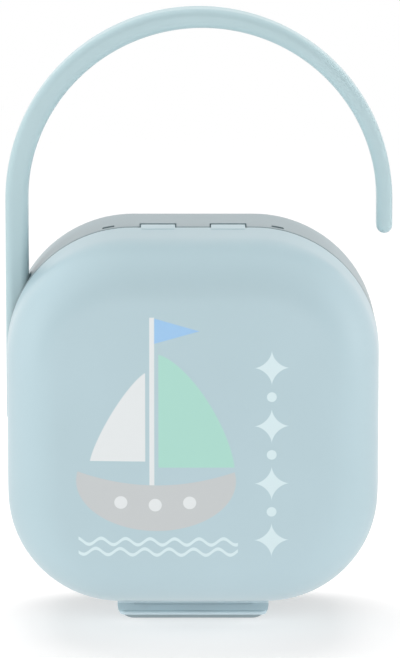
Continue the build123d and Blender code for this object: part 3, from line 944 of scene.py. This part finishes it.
def makeSeal(finish):
    seal = {
        "inset": 4.1,                  # middle of its groove, from the outside of the wall
        "Middle Height": 52.8, "Middle Depth": 0.68,
        "Cord Width": 1.3, "Cord Depth": 1.34, "Cord Corner": 0.42, "Corner Steps": 4,
    }
    case = caseSizes()
    form = bmesh.new()
    spots = [spot - out * seal["inset"] for spot, out in caseSpine(case["half"], case["corners"])]
    route = [form.verts.new((spot.x * mm, spot.y * mm, 0.0)) for spot in spots]
    for before, after in zip(route, route[1:] + route[:1]):
        form.edges.new((before, after))
    piece = emptyPiece("rimSealCord")
    form.to_mesh(piece.data)
    form.free()
    return dress(grow(piece, sealTree(), seal, finish), finish, 60.0)


def makeTray(finish):
    tray = {
        "half": (37.0, 38.0), "corner": 19.0, "middle": 52.8,
        "profile": [(12.0, 9.8), (0.0, 9.8), (0.0, 5.0), (1.4, 5.0), (1.4, 8.0), (12.0, 8.0)],
        "radii": [0.6, 0.5, 0.5, 0.5],
        "cradle": (13.5, 12.0), "cradlePlace": 18.4,
        "collar": (1.5, (5.2, 9.8), 0.5),   # wall, depths and edge of the rim round a cradle
        "ear": ((22.0, 24.6), (9.0, 15.0), (84.8, 89.8), 0.5),
        "stub": ((22.0, 28.1), (13.4, 87.3), 1.2, 0.25),
        "holes": {
            "Middle Depth": 8.9, "Middle Height": 52.8, "Pitch": 6.2, "Length": 3.2, "Width": 3.2,
            "Flare": 0.25, "Wall": 1.86, "Half Width": 37.0, "Half Height": 38.0, "Corner": 19.0,
            "Margin": 3.8, "Cradle Place": 18.4, "Cradle Width": 17.4, "Cradle Height": 15.9,
            "Ear Place": 19.6, "Ear Height": 29.6,
        },
    }
    spine = caseSpine(tray["half"], [(tray["corner"], tray["corner"])] * 2, 10, 12)

    def columnOf(spot, out):
        path = roundPath(tray["profile"], tray["radii"])
        flats = [spot - out * pull for pull, depth in path]
        return [Vector((flat.x, depth, flat.y)) for flat, (pull, depth) in zip(flats, path)]

    depths = [lambda spot, depth=tray["profile"][end][1]: depth for end in (0, -1)]
    lift = Vector((0.0, 0.0, tray["middle"]))
    piece = loft("sootherTray", spine, columnOf, depths, lambda spot: spot + lift)
    (wide, tall), place = tray["cradle"], tray["cradlePlace"]
    wall, (front, back), edge = tray["collar"]
    collars, hangers, openings = [], [], []
    for side in (-1, 1):
        middle = (side * place, tray["middle"])
        collars.append(prism(oval(middle, (wide + wall, tall + wall), 72), "Y", (front, back), edge))
        openings.append(prism(oval(middle, (wide, tall), 72), "Y", (front - 2, back + 2)))
        hangers.append(block(mirrored(tray["ear"][0], side), *tray["ear"][1:]))
        hangers.append(rod("X", mirrored(tray["stub"][0], side), *tray["stub"][1:]))
    join(piece, "UNION", collars + hangers)
    join(piece, "DIFFERENCE", openings)
    grow(piece, perforationTree(), tray["holes"], finish)
    return dress(piece, finish)


def makeLatch(finish):
    latch = {
        "half": 18.8, "bottom": 1.3, "top": 6.1, "corner": 3.4,
        "plate": (-5.2, -2.7), "plateEdge": 0.4,
        "ledge": (-8.2, -3.2), "ledgeHeight": (1.3, 3.3), "ledgeCorner": 2.6, "ledgeEdge": 0.6,
        # both along Y and Z: the slope up to the plate, and all that is cut away under the ledge
        "ramp": [(-5.0, 3.1), (-7.0, 3.1), (-7.0, 3.3), (-5.2, 4.7), (-5.0, 4.7)],
        "undercut": [(-9.2, 1.0), (-2.0, 1.0), (-2.0, 2.4), (-9.2, 2.5)],
        "groove": ((-14.6, 14.6), (-5.6, -4.9), (4.45, 4.75), 0.15),
        "tongue": ((-15.4, 15.4), (-3.7, 9.0), (2.3, 3.9), 0.4),
        "hook": ((-7.0, 7.0), (-4.6, -3.6), (5.1, 6.3), 0.3),
        "barrel": ((-15.4, 15.4), (9.0, 3.1), 1.4, 0.2),
        "bore": ((-19.0, 19.0), (9.0, 3.1), 0.87),
    }
    half, low, high = latch["half"], latch["bottom"], latch["top"]
    corners = [(half, high), (half, low), (-half, low), (-half, high)]
    outline = loopPath(corners, [0.5, latch["corner"], latch["corner"], 0.5], 8)
    plate = prism(outline, "Y", latch["plate"], latch["plateEdge"])
    (front, back), corner = latch["ledge"], latch["ledgeCorner"]
    corners = [(half, back), (half, front), (-half, front), (-half, back)]
    route = loopPath(corners, [0.0, corner, corner, 0.0], 8)
    ledge = prism(route, "Z", latch["ledgeHeight"], latch["ledgeEdge"])
    ramp = prism(latch["ramp"], "X", (-half, half))
    for part in (ledge, ramp):
        join(part, "INTERSECT", [prism(outline, "Y", (front - 1.0, back + 1.0))])
    join(plate, "UNION", [ledge, ramp])
    join(plate, "DIFFERENCE", [prism(latch["undercut"], "X", (-half - 1.0, half + 1.0))])
    inner = [block(*latch["tongue"]), block(*latch["hook"]), rod("X", *latch["barrel"])]
    join(plate, "UNION", inner)
    join(plate, "DIFFERENCE", [block(*latch["groove"]), rod("X", *latch["bore"])])
    plate.name = plate.data.name = "latchTab"
    return dress(plate, finish)


def makeSpring(finish):
    # a corrugated silicone strip under the latch's tongue
    spring = {
        "half": 7.0, "span": (1.8, 4.2), "middle": 1.84, "swing": 0.27, "leaf": 0.17,
        "waves": 4, "steps": 96,
    }
    outline = []
    for side in (1, -1):
        for step in range(spring["steps"] + 1):
            share = (step / spring["steps"] * 2.0 - 1.0) * side
            rise = spring["swing"] * cos(share * pi * spring["waves"])
            outline.append((-share * spring["half"], spring["middle"] + rise - side * spring["leaf"]))
    piece = prism(outline, "Y", spring["span"])
    piece.name = piece.data.name = "latchSpring"
    return dress(piece, finish)


def standFor(piece, node, body):
    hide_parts(node)
    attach(piece, body)
    print(piece.name, "stands for", node, "with", len(piece.data.polygons), "faces")


makeCamera()
makeLamps()
makeWorld()
makeFloor()
finishes = makeFinishes()
makers = [  # maker, CAD node, body, slot
    (makeFrontShell, "front_shell", "front", "front_plastic"),
    (makeRearShell, "rear_shell", "rear", "rear_plastic"),
    (makeHandle, "handle", "handle", "handle_plastic"),
    (makeSeal, "rim_seal", "rear", "silicone"),
    (makeTray, "soother_tray", "tray", "tray_plastic"),
    (makeLatch, "latch_tab", "latch", "latch_plastic"),
    (makeSpring, "latch_spring", "rear", "silicone"),
]
for maker, node, body, slot in makers:
    standFor(maker(finishes[slot]), node, body)
# the spring stands on the floor of the latch's slot, which is its anchor
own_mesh(bpy.data.objects["latchSpring"])
for part in frame["record"]["subparts"]:
    node = nodes[part["node"]]
    for index in range(len(node.data.materials)):
        node.data.materials[index] = finishes[part["material_slot"]]
